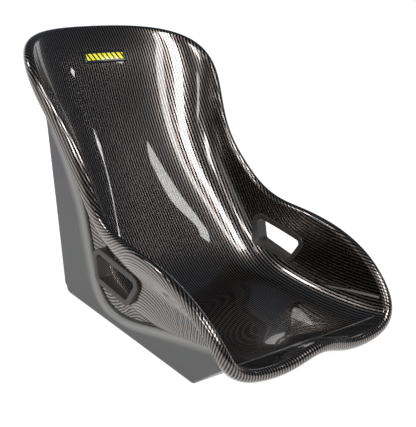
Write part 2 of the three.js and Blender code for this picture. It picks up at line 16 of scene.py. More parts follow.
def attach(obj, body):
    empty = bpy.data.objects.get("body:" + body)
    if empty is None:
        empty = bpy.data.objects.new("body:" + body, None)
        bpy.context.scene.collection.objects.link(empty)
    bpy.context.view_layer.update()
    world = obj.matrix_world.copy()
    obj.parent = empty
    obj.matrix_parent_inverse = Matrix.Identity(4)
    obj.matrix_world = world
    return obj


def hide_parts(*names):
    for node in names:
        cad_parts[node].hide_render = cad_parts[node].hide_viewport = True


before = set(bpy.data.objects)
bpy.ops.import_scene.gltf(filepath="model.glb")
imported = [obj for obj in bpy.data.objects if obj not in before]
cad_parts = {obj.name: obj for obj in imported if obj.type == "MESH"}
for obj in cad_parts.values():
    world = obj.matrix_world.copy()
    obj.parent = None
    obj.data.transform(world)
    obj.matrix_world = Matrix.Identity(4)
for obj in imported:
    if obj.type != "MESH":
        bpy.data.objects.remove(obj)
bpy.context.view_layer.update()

bl_info = {
    "name": "Carbon Bucket Seat",
    "version": (1, 0, 0),
    "blender": (4, 5, 0),
    "location": "View3D > Sidebar > Seat",
    "description": "Builds a low-back carbon bucket seat and its studio",
    "category": "Add Mesh",
}

# ---------------------------------------------------------------- the seat's lines

# Inner face of the front shell, from the front edge to the top of the back, as (y, z). The
# foot line runs along the middle of the seat and the wing line along the side rim.
FOOT_LINE = [
    (-196, 54), (-150, 32), (-90, 22), (-25, 18), (45, 16), (112, 18), (172, 50), (225, 95),
    (276, 140), (322, 185), (366, 232), (408, 285), (446, 340), (478, 383), (514, 412),
]
WING_LINE = [
    (-198, 116), (-150, 141), (-98, 157), (-40, 165), (20, 166), (75, 163), (125, 160), (172, 172),
    (215, 200), (255, 233), (292, 268), (326, 306), (356, 346), (380, 382), (404, 415),
]
HALF_WIDTH = [196, 204, 208, 208, 207, 204, 197, 189, 181, 174, 176, 188, 203, 210, 203]
FULLNESS = [4.2, 4.2, 4.4, 5.4, 5.6, 5.2, 4.4, 3.6, 3.0, 2.7, 2.5, 2.4, 2.3, 2.2, 2.1]
WALL_FLARE = 5
CORNER_SQUARENESS = 4
STATION_SPACING = 62

# The raised middle of the front edge, between the thigh scoops.
POMMEL_HEIGHT = 19
POMMEL_HALF_WIDTH = 62
POMMEL_LENGTH = 75

# The rolled rim, from the front edge to the top.
ROLL_RADIUS = [11, 10, 9, 9, 9, 9, 9, 9, 10, 11, 11.5]
ROLL_TURN = math.radians(110)
SKIRT_OUT = [22, 20, 17, 17, 17, 20, 25, 25, 23, 22, 21]
SKIRT_DROP = [10, 9, 6, 6, 6, 10, 11, 10, 9, 9, 9]
SKIRT_FADE = [10, 20, 50, 60, 60, 40, 14, 10, 10, 10, 10]
SHELL_WALL = 4

# Below the rim the shell's outside stands out to a flat side panel, down to the casing's edge.
PANEL_INSET = 7
PANEL_FADE = 14
PANEL_INSIDE = 130
PANEL_INSIDE_FADE = 30
PANEL_FRONT = -165
PANEL_REAR = 400
PANEL_END_FADE = 50

# The rear casing.
CASING_HALF_WIDTH = 207
CASING_DRAFT = -0.01
CASING_WALL = 3.5
CASING_CORNER = 6
BASE_REAR = 240
BASE_FRONT = -114
BASE_REAR_RADIUS = 12
BASE_FRONT_RADIUS = 8
REAR_LEAN = 0.42
REAR_TOP_MIDDLE = 383
REAR_TOP_SIDE = 318
REAR_TOP_SHAPE = 5
REAR_CLEARANCE = 15
REAR_BLEND = 14
FRONT_LEAN = math.pi / 4
FRONT_REACH = 84
SIDE_EDGE_REAR = [
    (370, 311), (349, 296), (327, 279), (303, 259), (279, 235), (256, 209), (236, 187), (219, 162),
    (204, 134), (189, 109), (175, 83),
]
SIDE_EDGE_FRONT = [
    (175, 83), (157, 51), (130, 29), (95, 23), (57, 28), (17, 41), (-23, 54), (-64, 66.5),
    (-106, 80), (-160, 94),
]
# Where, along those two lines, the rear fillet's first row and the base's last row end.
REAR_FILLET_SHARE = 0.93
BASE_SHARE = 0.88
SIDE_EDGE_ROUND = 13
SIDE_EDGE_STEP = 6
EDGE_LINE_POINTS = 400

# The casing's mesh: its rows from the back's top edge to the front, and its columns from the
# middle to the flange.
BACK_ROWS = 60
FILLET_ROWS = 6
BASE_ROWS = 89
NOSE_ROWS = 4
SLOPE_ROWS = 13
MIDDLE_COLUMNS = 60
CORNER_COLUMNS = 7
SIDE_COLUMNS = 23
EDGE_COLUMNS = 13
FLANGE_COLUMNS = 4
SLOPE_PLACES = 70
# The middle's columns crowd together towards the corner, where they turn to meet the side.
COLUMN_CROWDING = 1.3
CORNER_PULL = 8
# On a narrow side, the most of its width that the corner and the rounded edge may take.
CORNER_SHARE = 0.35
EDGE_SHARE = 0.45

# The harness slot's opening and the pieces that frame it.
SLOT_CORNERS = [(159, 119), (48, 109), (64, 70), (141, 77)]
SLOT_CORNER_RADIUS = 7
SLOT_CLEARANCE = 1.5
BEZEL_FACE_X = 217
BEZEL_ROUND = 2.4
BEZEL_INNER_ROUND = 1.6
BEZEL_FOOT_ROUND = 0.3
BEZEL_CORNER_STEPS = 10
BEZEL_STEP = 6.0
FIT_GAP = 0.3

# The parts of the casing's rear and front edge lines that a seal bead follows: the first place,
# the last one and the number of rings between them.
SEAL_REAR = (0.42, 0.99, 90)
SEAL_FRONT = (0.0, 0.85, 130)
SEAL_SIDES = 16

# The badge plate.
BADGE_THICKNESS = 0.8
BADGE_EDGE_THICKNESS = 0.35
BADGE_CELLS = (40, 16)

# Floor fixings.
INSERT_X = 145
INSERT_ROWS = (-57, 183)
INSERT_RADIUS = 8
INSERT_SIDES = 48

# How far the cutting shapes reach: a slot's in x, and an insert hole's in z.
SLOT_CUT = (150, 240)
INSERT_CUT = (-5, 10)

# Edges that turn by more than this are sharp, on a whole piece and on a piece that is cut.
SHARP_EDGE = math.radians(50)
SHARP_CUT_EDGE = math.radians(35)

# The finished seat's origin is in the middle of its base.
ORIGIN_Y = (BASE_REAR + BASE_FRONT) / 2
METRE = 0.001


# ---------------------------------------------------------------- lines and surfaces

def smooth_value(values, t):
    """A smooth curve drawn towards evenly spaced values, starting and ending on its ends."""
    values = np.asarray(values, float)
    padded = np.concatenate([[2 * values[0] - values[1]], values, [2 * values[-1] - values[-2]]])
    position = np.clip(t, 0, 1) * (len(values) - 1)
    cell = np.minimum(np.floor(position).astype(int), len(values) - 2)
    f = position - cell
    weights = (
        (1 - f) ** 3 / 6,
        (3 * f**3 - 6 * f**2 + 4) / 6,
        (-3 * f**3 + 3 * f**2 + 3 * f + 1) / 6,
        f**3 / 6,
    )
    return sum(weight * padded[cell + k] for k, weight in enumerate(weights))


def smooth_point(points, t):
    """A place on the smooth curve drawn towards a list of flat points."""
    return np.stack([smooth_value([p[k] for p in points], t) for k in (0, 1)], axis=-1)


def smooth_step(f):
    c = np.clip(f, 0, 1)
    return c * c * (3 - 2 * c)


def unit(vectors):
    return vectors / np.maximum(np.linalg.norm(vectors, axis=-1, keepdims=True), 1e-12)


def steps_to(end, count):
    """Evenly spaced values up to an end, without the zero that they start from."""
    return np.linspace(0, end, count + 1)[1:]


def seat_point(across, along):
    """The inner face: across is -1 to 1 between the wing lines, along 0 to 1, front to top."""
    across, along = np.broadcast_arrays(np.asarray(across, float), np.asarray(along, float))
    foot = smooth_point(FOOT_LINE, along)
    wing = smooth_point(WING_LINE, along)
    half = smooth_value(HALF_WIDTH, along)
    power = smooth_value(FULLNESS, along)
    angle = np.minimum(np.abs(across), 1) * math.pi / 2
    fullness = (np.sin(angle) ** power + np.abs(np.cos(angle)) ** power) ** (1 / power)
    rise = 1 - np.cos(angle) / fullness
    x = np.sign(across) * (half * np.sin(angle) / fullness + WALL_FLARE * rise**3)
    length = along * (len(FOOT_LINE) - 1) * STATION_SPACING
    pommel = POMMEL_HEIGHT * np.exp(-((x / POMMEL_HALF_WIDTH) ** 2))
    pommel = pommel * np.exp(-((length / POMMEL_LENGTH) ** 2))
    y = foot[..., 0] + (wing[..., 0] - foot[..., 0]) * rise
    z = foot[..., 1] + (wing[..., 1] - foot[..., 1]) * rise + pommel
    return np.stack([x, y, z], axis=-1)


def seat_normal(across, along):
    """The inner face's normal, pointing away from the sitter."""
    step = 1e-3
    a = np.clip(across, step - 1, 1 - step)
    s = np.clip(along, step, 1 - step)
    d_across = seat_point(a + step, s) - seat_point(a - step, s)
    d_along = seat_point(a, s + step) - seat_point(a, s - step)
    return unit(np.cross(d_along, d_across))


def outline_place(u, v):
    """A square grid bent into the rim's outline, a rounded rectangle of the face."""
    x = u * np.sqrt(1 - v * v / 2)
    y = v * np.sqrt(1 - u * u / 2)
    radius = np.hypot(x, y)
    power = 2 + (CORNER_SQUARENESS - 2) * radius**2
    reach = (np.abs(x) ** power + np.abs(y) ** power) ** (1 / power)
    scale = radius / np.maximum(reach, 1e-12)
    return x * scale, (y * scale + 1) / 2


def halve(low, high, is_low, rounds=16):
    """Closes in on the place where is_low turns false, for arrays of ends."""
    for _ in range(rounds):
        middle = (low + high) / 2
        keep = is_low(middle)
        low, high = np.where(keep, middle, low), np.where(keep, high, middle)
    return low


# The shares of the seat's length between which a place on the backrest or the pan is looked for.
BACKREST_STATIONS = (0.33, 1)
PAN_STATIONS = (0, 0.5)


def find_point(station_axis, station_value, across_axis, across_value, stations):
    """Points of the inner face, on the sitter's left, with given values on two axes."""
    first, second = np.broadcast_arrays(station_value, across_value)
    start, end = (np.full(first.shape, float(s)) for s in stations)

    def at(across):
        along = halve(start, end, lambda s: seat_point(across, s)[..., station_axis] < first)
        return seat_point(across, along)

    nothing, all_across = np.zeros(first.shape), np.ones(first.shape)
    return at(halve(nothing, all_across, lambda a: at(a)[..., across_axis] < second))


def backrest_depth(x, z):
    """Depth (y) of the inner face behind places on the backrest."""
    return find_point(2, z, 0, np.abs(x), BACKREST_STATIONS)[..., 1]


def side_wall_x(y, z):
    """Half-width (x) of the inner face beside places on the side wall."""
    return find_point(1, y, 2, z, (0, 1))[..., 0]


def pan_height(x, y):
    """Height (z) of the inner face over places on the pan."""
    return find_point(1, y, 0, x, PAN_STATIONS)[..., 2]


def casing_side(z):
    """Half-width (x) of the casing's flat side at heights."""
    return CASING_HALF_WIDTH + CASING_DRAFT * z


def side_edge_height(y):
    """Height of the casing's side edge at depths, level past the line's two ends."""
    t = np.linspace(0, 1, EDGE_LINE_POINTS)
    rear = smooth_point(SIDE_EDGE_REAR, t)
    line = np.concatenate([smooth_point(SIDE_EDGE_FRONT, t)[::-1], rear[-2::-1]])
    return np.interp(y, line[:, 0], line[:, 1])


def move_to_panel(points):
    """Moves the shell's outside out to the flat side panel, above the casing's edge."""
    x, y, z = np.moveaxis(points, -1, 0)
    moved = (smooth_step(1 + (z - side_edge_height(y)) / PANEL_FADE)
             * smooth_step((np.abs(x) - PANEL_INSIDE) / PANEL_INSIDE_FADE)
             * smooth_step((y - PANEL_FRONT) / PANEL_END_FADE)
             * smooth_step((PANEL_REAR - y) / PANEL_END_FADE))
    reach = np.maximum(casing_side(z) - PANEL_INSET - np.abs(x), 0)
    return np.stack([x + np.sign(x) * reach * moved, y, z], axis=-1)


# ---------------------------------------------------------------- mesh helpers

def grid_faces(numbers, flip=False):
    """The square faces between the point numbers of a grid."""
    a, b = numbers[:-1, :-1].ravel(), numbers[:-1, 1:].ravel()
    c, d = numbers[1:, 1:].ravel(), numbers[1:, :-1].ravel()
    faces = np.stack([a, d, c, b] if flip else [a, b, c, d], axis=1)
    return faces.tolist()


def grid_border(rows, columns):
    """Row and column numbers round a grid of cells, along its first row and back to the start."""
    places = ([(0, k) for k in range(columns)]
              + [(k, columns) for k in range(rows)]
              + [(rows, columns - k) for k in range(columns)]
              + [(rows - k, 0) for k in range(rows)])
    return np.array(places).T


def slab_faces(front, back):
    """The faces of a closed slab between two grids of point numbers."""
    i, j = grid_border(front.shape[0] - 1, front.shape[1] - 1)
    strip = np.stack([front[i, j], back[i, j]], axis=1)
    strip = np.concatenate([strip, strip[:1]])
    return grid_faces(front) + grid_faces(back, True) + grid_faces(strip)


def make_object(name, points, faces, coordinates=None):
    """A smooth-shaded mesh object, with its faces turned out, from points in millimetres."""
    mesh = bpy.data.meshes.new(name)
    shifted = (np.asarray(points, float) - (0, ORIGIN_Y, 0)) * METRE
    mesh.from_pydata(shifted.tolist(), [], faces)
    if coordinates is not None:
        layer = mesh.uv_layers.new(name="surface")
        corners = np.empty(len(mesh.loops), int)
        mesh.loops.foreach_get("vertex_index", corners)
        layer.data.foreach_set("uv", np.asarray(coordinates)[corners].ravel().astype(np.float32))
    piece = bpy.data.objects.new(name, mesh)
    bpy.context.scene.collection.objects.link(piece)
    finish_edges(piece, SHARP_EDGE)
    return piece


def make_prism(name, near, far):
    """A closed prism between two rings that have the same number of points."""
    count = len(near)
    faces = [list(range(count)), list(range(2 * count - 1, count - 1, -1))]
    faces += [[k, (k + 1) % count, count + (k + 1) % count, count + k] for k in range(count)]
    return make_object(name, [*near, *far], faces)


def finish_edges(piece, sharp):
    """Joins doubled points, turns the faces out and shades them smooth between sharp edges."""
    shape = bmesh.new()
    shape.from_mesh(piece.data)
    bmesh.ops.remove_doubles(shape, verts=shape.verts, dist=1e-6)
    bmesh.ops.recalc_face_normals(shape, faces=shape.faces)
    for face in shape.faces:
        face.smooth = True
    for edge in shape.edges:
        edge.smooth = not (edge.is_manifold and edge.calc_face_angle(0) > sharp)
    shape.to_mesh(piece.data)
    shape.free()


def cut(piece, cutters):
    """Takes the cutters out of a piece for good, and removes them."""
    for cutter in cutters:
        tool = piece.modifiers.new("cut", "BOOLEAN")
        tool.operation = "DIFFERENCE"
        tool.solver = "EXACT"
        tool.object = cutter
    bpy.context.view_layer.update()
    result = bpy.data.meshes.new_from_object(
        piece.evaluated_get(bpy.context.evaluated_depsgraph_get()))
    piece.modifiers.clear()
    old = piece.data
    piece.data = result
    bpy.data.meshes.remove(old)
    for cutter in cutters:
        bpy.data.objects.remove(cutter)
    finish_edges(piece, SHARP_CUT_EDGE)


def place(piece, material, slot, *nodes):
    """Gives a finished piece its material and its body, and hides its CAD nodes; slot is not used.
    """
    piece.data.materials.clear()
    piece.data.materials.append(material)
    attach(piece, "root")
    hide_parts(*nodes)
    return piece


def mirror_points(points):
    return np.asarray(points, float) * (-1, 1, 1)


# ---------------------------------------------------------------- material helpers

class Nodes:
    """Builds one material's nodes with short calls."""

    def __init__(self, name):
        self.material = bpy.data.materials.new(name)
        self.material.use_nodes = True
        self.tree = self.material.node_tree
        self.shader = self.tree.nodes["Principled BSDF"]

    def add(self, kind, **settings):
        node = self.tree.nodes.new(kind)
        for key, value in settings.items():
            setattr(node, key, value)
        return node

    def link(self, source, target):
        self.tree.links.new(source, target)

    def math(self, operation, first, second=None):
        node = self.add("ShaderNodeMath", operation=operation)
        for socket, value in zip(node.inputs, (first, second)):
            if value is None:
                continue
            if isinstance(value, (int, float)):
                socket.default_value = value
            else:
                self.link(value, socket)
        return node.outputs[0]

    def mix(self, factor, low, high):
        node = self.add("ShaderNodeMix", data_type="RGBA")
        self.link(factor, node.inputs["Factor"])
        for socket, value in ((node.inputs[6], low), (node.inputs[7], high)):
            if isinstance(value, bpy.types.NodeSocket):
                self.link(value, socket)
            else:
                socket.default_value = (*value, 1)
        return node.outputs[2]

    def spread(self, value, low, high):
        node = self.add("ShaderNodeMapRange")
        self.link(value, node.inputs["Value"])
        node.inputs["To Min"].default_value = low
        node.inputs["To Max"].default_value = high
        return node.outputs[0]

    def noise(self, scale, detail=2.0, vector=None):
        node = self.add("ShaderNodeTexNoise")
        node.inputs["Scale"].default_value = scale
        node.inputs["Detail"].default_value = detail
        source = vector or self.add("ShaderNodeTexCoord").outputs["Object"]
        self.link(source, node.inputs["Vector"])
        return node.outputs["Fac"]

    def bump(self, height, strength, distance):
        node = self.add("ShaderNodeBump")
        node.inputs["Strength"].default_value = strength
        node.inputs["Distance"].default_value = distance
        self.link(height, node.inputs["Height"])
        self.link(node.outputs[0], self.shader.inputs["Normal"])

    def set(self, **values):
        for key, value in values.items():
            self.shader.inputs[key.replace("_", " ")].default_value = value


# The tows in one repeat of the twill, and how many of them catch the light.
TWILL_TOWS = 4.0
TWILL_BRIGHT_TOWS = 1.7


def carbon_material(look):
    """Clear-coated 2x2 twill, laid so that its diagonal lines run along the seat."""
    nodes = Nodes("carbon_gloss")
    cloth = nodes.add("ShaderNodeUVMap", uv_map="surface").outputs[0]
    split = nodes.add("ShaderNodeSeparateXYZ")
    nodes.link(cloth, split.inputs[0])
    across, along = split.outputs[0], split.outputs[1]
    tow = look.line_spacing / (2 * math.sqrt(2))
    diagonal = 1 / (math.sqrt(2) * tow)
    warp_place = nodes.math("MULTIPLY", nodes.math("ADD", across, along), diagonal)
    weft_place = nodes.math("MULTIPLY", nodes.math("SUBTRACT", across, along), diagonal)
    stagger = nodes.math("ADD", nodes.math("FRACT", warp_place), nodes.math("FRACT", weft_place))
    line_place = nodes.math("SUBTRACT", nodes.math("ADD", warp_place, weft_place),
                            nodes.math("MULTIPLY", stagger, look.line_stagger))
    step = nodes.math("FLOORED_MODULO", line_place, TWILL_TOWS)
    over = nodes.math("LESS_THAN", step, TWILL_BRIGHT_TOWS)
    fibre = nodes.noise(900.0, 1.0, cloth)
    bright = nodes.mix(nodes.spread(fibre, 0.0, 1.0), look.tow_bright, look.tow_middle)
    nodes.link(nodes.mix(over, look.tow_dark, bright), nodes.shader.inputs["Base Color"])
    nodes.link(nodes.spread(over, 0.25, 0.28), nodes.shader.inputs["Roughness"])
    nodes.set(Metallic=look.tow_metal, Coat_Weight=1.0, Coat_Roughness=look.coat_roughness,
              Coat_IOR=1.5)
    return nodes.material


# Painted reflection: the casing's colour turns darker and purplish above this height, in metres,
# unevenly and over a short way.
CASING_REFLECTION_HEIGHT = 0.20
CASING_REFLECTION_WANDER = 0.12
CASING_REFLECTION_FADE = 20.0


def casing_material(look):
    """Satin gel coat over glass fibre: faint orange peel, cloudiness, a painted reflection higher
    up and a painted highlight along the side's rounded edge.
    """
    nodes = Nodes("casing_satin")
    cloud = nodes.noise(9.0, 4.0)
    fleck = nodes.noise(900.0, 2.0)
    split = nodes.add("ShaderNodeSeparateXYZ")
    nodes.link(nodes.add("ShaderNodeTexCoord").outputs["Object"], split.inputs[0])
    # Painted reflection: darker and purplish above a wavy line on the casing.
    wander = nodes.math("MULTIPLY", cloud, CASING_REFLECTION_WANDER)
    raised = nodes.math("ADD", split.outputs[2], wander)
    past_line = nodes.math("SUBTRACT", raised, CASING_REFLECTION_HEIGHT)
    fade = nodes.math("MULTIPLY", past_line, CASING_REFLECTION_FADE)
    upper_reflection = nodes.math("SMOOTH_MAX", nodes.math("MINIMUM", fade, 1.0), 0.0)
    with_reflection = nodes.mix(upper_reflection, look.casing_colour, look.casing_upper_reflection)
    # Painted highlight: a lighter colour laid along the side's rounded edge, where the first
    # surface coordinate is 1.
    surface = nodes.add("ShaderNodeSeparateXYZ")
    nodes.link(nodes.add("ShaderNodeUVMap", uv_map="surface").outputs[0], surface.inputs[0])
    highlighted = nodes.mix(surface.outputs[0], with_reflection, look.casing_edge_highlight)
    speckled = nodes.mix(nodes.spread(fleck, 0.0, 0.25), highlighted, (0.2, 0.2, 0.2))
    nodes.link(speckled, nodes.shader.inputs["Base Color"])
    nodes.link(nodes.spread(cloud, 0.26, 0.36), nodes.shader.inputs["Roughness"])
    nodes.bump(nodes.noise(160.0, 2.0), 0.12, 0.0006)
    nodes.set(Specular_IOR_Level=0.5)
    return nodes.material


def bezel_material(look):
    """Black moulded plastic with a fine grain."""
    nodes = Nodes("bezel_plastic")
    grain = nodes.noise(1500.0, 2.0)
    dark = tuple(0.8 * c for c in look.bezel_colour)
    nodes.link(nodes.mix(grain, dark, look.bezel_colour), nodes.shader.inputs["Base Color"])
    nodes.link(nodes.spread(grain, 0.32, 0.5), nodes.shader.inputs["Roughness"])
    nodes.bump(grain, 0.2, 0.0002)
    return nodes.material


def sealant_material():
    """Black sealant, slightly lumpy."""
    nodes = Nodes("sealant")
    lumps = nodes.noise(220.0, 3.0)
    nodes.link(nodes.mix(lumps, (0.006, 0.006, 0.006), (0.02, 0.02, 0.02)),
               nodes.shader.inputs["Base Color"])
    nodes.link(nodes.spread(lumps, 0.35, 0.6), nodes.shader.inputs["Roughness"])
    nodes.bump(lumps, 0.3, 0.0004)
    return nodes.material


# The badge's row of bars, in shares of the plate's width and height.
BARS_HALF_HEIGHT = 0.26
BARS_HALF_WIDTH = 0.43
BARS_ACROSS = 9.0
BARS_SLANT = 1.2
BARS_PAINTED = 0.62


def badge_material(look):
    """Black enamel with a row of slanting bars."""
    nodes = Nodes("badge_enamel")
    place_on = nodes.add("ShaderNodeUVMap", uv_map="surface").outputs[0]
    split = nodes.add("ShaderNodeSeparateXYZ")
    nodes.link(place_on, split.inputs[0])
    x, y = split.outputs[0], split.outputs[1]
    from_middle = nodes.math("ABSOLUTE", nodes.math("SUBTRACT", y, 0.5))
    from_centre = nodes.math("ABSOLUTE", nodes.math("SUBTRACT", x, 0.5))
    band = nodes.math("MULTIPLY", nodes.math("LESS_THAN", from_middle, BARS_HALF_HEIGHT),
                      nodes.math("LESS_THAN", from_centre, BARS_HALF_WIDTH))
    slant = nodes.math("ADD", nodes.math("MULTIPLY", x, BARS_ACROSS),
                       nodes.math("MULTIPLY", y, BARS_SLANT))
    bars = nodes.math("LESS_THAN", nodes.math("FRACT", slant), BARS_PAINTED)
    paint = nodes.math("MULTIPLY", band, bars)
    nodes.link(nodes.mix(paint, (0.006, 0.006, 0.007), look.badge_colour),
               nodes.shader.inputs["Base Color"])
    nodes.link(nodes.spread(nodes.noise(400.0), 0.2, 0.32), nodes.shader.inputs["Roughness"])
    nodes.set(Coat_Weight=0.6, Coat_Roughness=0.08)
    return nodes.material


def metal_material(name, bright, low, high):
    """Bare metal with scratches, its roughness between low and high."""
    nodes = Nodes(name)
    scratch = nodes.noise(300.0, 3.0)
    dark = tuple(0.75 * c for c in bright)
    nodes.link(nodes.mix(scratch, dark, bright), nodes.shader.inputs["Base Color"])
    nodes.link(nodes.spread(scratch, low, high), nodes.shader.inputs["Roughness"])
    nodes.bump(scratch, 0.2, 0.0002)
    nodes.set(Metallic=1.0)
    return nodes.material


def floor_material():
    """A white table lit from below, so that it is evenly bright."""
    nodes = Nodes("studio_floor")
    haze = nodes.noise(1.5, 2.0)
    nodes.link(nodes.mix(haze, (0.28, 0.28, 0.28), (0.3, 0.3, 0.3)),
               nodes.shader.inputs["Base Color"])
    nodes.link(nodes.spread(haze, 0.7, 0.8), nodes.shader.inputs["Roughness"])
    nodes.set(Specular_IOR_Level=0.1, Emission_Color=(1, 1, 1, 1), Emission_Strength=0.96)
    return nodes.material


# ---------------------------------------------------------------- settings

def size(name, description, default, low, high):
    """A length that the user can set, in metres."""
    return bpy.props.FloatProperty(
        name=name, description=description, default=default, min=low, max=high,
        unit="LENGTH", subtype="DISTANCE", precision=4,
    )


def share(name, description, default):
    """A share from 0 to 1 that the user can set."""
    return bpy.props.FloatProperty(
        name=name, description=description, default=default, min=0.0, max=1.0, subtype="FACTOR",
    )


def colour(name, description, default):
    """A colour that the user can set."""
    return bpy.props.FloatVectorProperty(
        name=name, description=description, default=default, size=3, min=0.0, max=1.0,
        subtype="COLOR",
    )


class SeatLook(bpy.types.PropertyGroup):
    """Colours and finishes of the seat."""

    line_spacing: size("Twill line spacing", "Distance between the cloth's lines", 0.006,
                       0.001, 0.02)
    line_stagger: share("Line stagger", "How far each tow steps the twill lines", 0.12)
    tow_bright: colour("Bright tow", "Tows that catch the light", (0.25, 0.218, 0.20))
    tow_middle: colour("Middle tow", "Fibres between the bright ones", (0.20, 0.171, 0.154))
    tow_dark: colour("Dark tow", "Tows that turn from the light", (0.0015, 0.002, 0.003))
    tow_metal: share("Tow shine", "How metallic the fibres look", 1.0)
    coat_roughness: share("Coat roughness", "Roughness of the clear coat", 0.02)
    casing_colour: colour("Casing", "Gel coat of the rear casing", (0.047, 0.049, 0.047))
    # Painted highlight laid along the casing's rounded side edge.
    casing_edge_highlight: colour("Casing edge", "Gel coat along the rubbed edge", (0.24, 0.235, 0.225))
    # Painted reflection: the darker, purplish colour of the casing higher up.
    casing_upper_reflection: colour("Casing, upper", "Gel coat higher up", (0.044, 0.038, 0.046))
    bezel_colour: colour("Bezel", "Plastic of the slot bezels", (0.04, 0.036, 0.033))
    badge_colour: colour("Badge paint", "Paint on the badge plate", (0.95, 0.88, 0.01))


class SeatDetail(bpy.types.PropertyGroup):
    """Sizes of the small pieces and the fineness of the meshes."""

    bezel_width: size("Bezel width", "Width of a slot bezel's frame", 0.011, 0.004, 0.02)
    bezel_inner_height: size("Inner bezel height", "Height inside the seat", 0.003, 0.001, 0.01)
    bead_radius: size("Seal bead radius", "Half the bead's thickness", 0.002, 0.0005, 0.004)
    badge_width: size("Badge width", "Width of the badge plate", 0.106, 0.02, 0.2)
    badge_height: size("Badge height", "Height of the badge plate", 0.025, 0.01, 0.08)
    badge_station: share("Badge place", "Place along the seat, from the front", 0.905)
    cells_across: bpy.props.IntProperty(
        name="Cells across", description="Mesh cells across the shell", default=150, min=24)
    cells_along: bpy.props.IntProperty(
        name="Cells along", description="Mesh cells along the shell", default=210, min=32)


# ---------------------------------------------------------------- front shell

# Steps round the roll and down the skirt, and how far the skirt first follows the roll's end.
ROLL_STEPS = 12
SKIRT_STEPS = 8
SKIRT_BEND = 0.5


def rim_section(along):
    """Steps out from and up beyond the inner face round the roll and down the skirt."""
    radius = smooth_value(ROLL_RADIUS, along)
    end_out = smooth_value(SKIRT_OUT, along)
    end_up = -smooth_value(SKIRT_DROP, along)
    steps = []
    for f in steps_to(1, ROLL_STEPS):
        a = f * ROLL_TURN
        steps.append((radius * (1 - math.cos(a)), radius * math.sin(a)))
    start_out, start_up = steps[-1]
    reach = SKIRT_BEND * np.hypot(end_out - start_out, end_up - start_up)
    bend_out = start_out + reach * math.sin(ROLL_TURN)
    bend_up = start_up + reach * math.cos(ROLL_TURN)
    for f in steps_to(1, SKIRT_STEPS):
        near, middle, far = (1 - f) ** 2, 2 * f * (1 - f), f * f
        steps.append((near * start_out + middle * bend_out + far * end_out,
                      near * start_up + middle * bend_up + far * end_up))
    return steps


# Places in the table of the cloth's lengths.
TABLE_ACROSS = 161
TABLE_ALONG = 201


def cloth_table():
    """Arc lengths of the inner face: across from the middle, and along it, as a lookup."""
    across = np.linspace(0, 1, TABLE_ACROSS)
    along = np.linspace(0, 1, TABLE_ALONG)
    points = seat_point(across[None, :], along[:, None])
    steps = np.linalg.norm(np.diff(points, axis=1), axis=2)
    from_middle = np.concatenate([np.zeros((len(along), 1)), np.cumsum(steps, axis=1)], axis=1)
    foot = smooth_point(FOOT_LINE, along)
    from_front = np.concatenate([[0], np.cumsum(np.linalg.norm(np.diff(foot, axis=0), axis=1))])

    def look_up(place_across, place_along):
        a = np.abs(place_across) * (len(across) - 1)
        s = place_along * (len(along) - 1)
        i = np.minimum(a.astype(int), len(across) - 2)
        j = np.minimum(s.astype(int), len(along) - 2)
        fa, fs = a - i, s - j
        value = ((1 - fa) * (1 - fs) * from_middle[j, i] + fa * (1 - fs) * from_middle[j, i + 1]
                 + (1 - fa) * fs * from_middle[j + 1, i] + fa * fs * from_middle[j + 1, i + 1])
        length = np.interp(place_along, along, from_front)
        return np.stack([np.sign(place_across) * value, length], axis=-1)

    return look_up


def shell_mesh(cells_across, cells_along):
    """Points, faces and cloth coordinates of the front shell, inner face, rim and back."""
    u, v = np.meshgrid(np.linspace(-1, 1, cells_across + 1), np.linspace(-1, 1, cells_along + 1),
                       indexing="ij")
    across, along = outline_place(u, v)
    inner = seat_point(across, along)
    normal = seat_normal(across, along)
    cloth = cloth_table()(across, along)
    bj, bi = grid_border(cells_along, cells_across)
    rim, rim_normal, rim_along = inner[bi, bj], normal[bi, bj], along[bi, bj]
    tangent = np.roll(rim, -1, axis=0) - np.roll(rim, 1, axis=0)
    up = unit(np.cross(rim_normal, tangent))
    rim_cloth = cloth[bi, bj]
    run = unit(np.roll(rim_cloth, -1, axis=0) - np.roll(rim_cloth, 1, axis=0))
    cloth_out = np.stack([run[:, 1], -run[:, 0]], axis=-1)

    tree = KDTree(len(rim))
    for k, point in enumerate(rim):
        tree.insert(point, k)
    tree.balance()
    found = [tree.find(point)[1:] for point in inner.reshape(-1, 3)]
    near = np.array([k for k, _ in found]).reshape(across.shape)
    depth = np.array([d for _, d in found]).reshape(across.shape)
    near_along = rim_along[near]
    keep = 1 - smooth_step(depth / smooth_value(SKIRT_FADE, near_along))
    out = SHELL_WALL + (smooth_value(SKIRT_OUT, near_along) - SHELL_WALL) * keep
    drop = smooth_value(SKIRT_DROP, near_along) * keep
    outer = move_to_panel(inner + normal * out[..., None] - up[near] * drop[..., None])

    steps = rim_section(rim_along)
    rows = [rim] + [rim + rim_normal * o[:, None] + up * w[:, None] for o, w in steps]
    walked = np.zeros(len(rim))
    row_cloth = []
    for before, after in zip(rows[:-1], rows[1:]):
        walked = walked + np.linalg.norm(after - before, axis=1)
        row_cloth.append(rim_cloth + cloth_out * walked[:, None])
    back_cloth = rim_cloth[near] + cloth_out[near] * (walked[near] + depth)[..., None]

    count = inner[..., 0].size
    inner_numbers = np.arange(count).reshape(across.shape)
    outer_numbers = inner_numbers + count
    points = [inner.reshape(-1, 3), outer.reshape(-1, 3)]
    coordinates = [cloth.reshape(-1, 2), back_cloth.reshape(-1, 2)]
    strips = [inner_numbers[bi, bj]]
    total = 2 * count
    for row, row_uv in zip(rows[1:-1], row_cloth[:-1]):
        points.append(row)
        coordinates.append(row_uv)
        strips.append(total + np.arange(len(rim)))
        total += len(rim)
    strips.append(outer_numbers[bi, bj])
    strip = np.stack(strips, axis=1)
    strip = np.concatenate([strip, strip[:1]])
    faces = (grid_faces(inner_numbers) + grid_faces(outer_numbers, True)
             + grid_faces(strip, True))
    return np.concatenate(points), faces, np.concatenate(coordinates) * METRE


